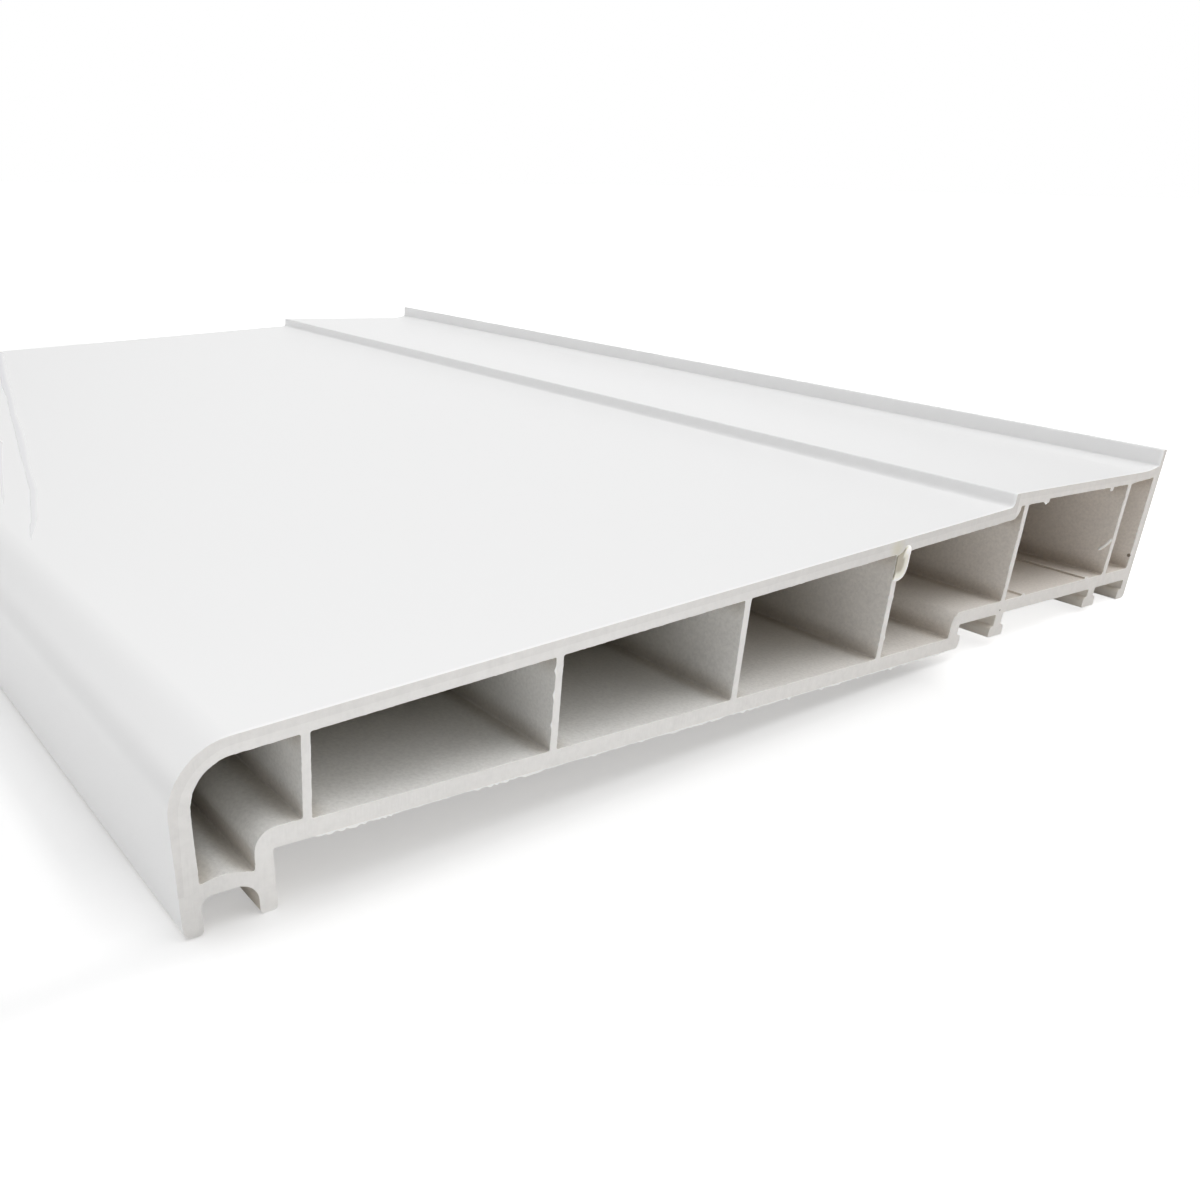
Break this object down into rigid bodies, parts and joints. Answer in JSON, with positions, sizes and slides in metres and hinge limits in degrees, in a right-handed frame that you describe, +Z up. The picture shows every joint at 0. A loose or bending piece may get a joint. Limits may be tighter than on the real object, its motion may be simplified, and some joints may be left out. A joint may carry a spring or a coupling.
{
  "type": "window sill board",
  "caption": "Hollow extruded sill board for under a window: falling top, rounded nose with drip lips, level platform with a rear upstand for the frame, clip feet below.",
  "frame": {"origin": "on the floor that the board rests on, at the middle of its length and of its depth (bottom centre of its box)", "axes": "+X along the board's length, +Y from the nose to the rear face, +Z up; the board rests on its second drip lip and its rear foot, so its underside and platform fall 2.66 degrees towards the rear"},
  "size_m": [0.316, 0.226, 0.0337],
  "materials": {
    "white_pvc": "gloss"
  },
  "bodies": {
    "root": {"sill_board": "white_pvc"}
  },
  "joints": []
}
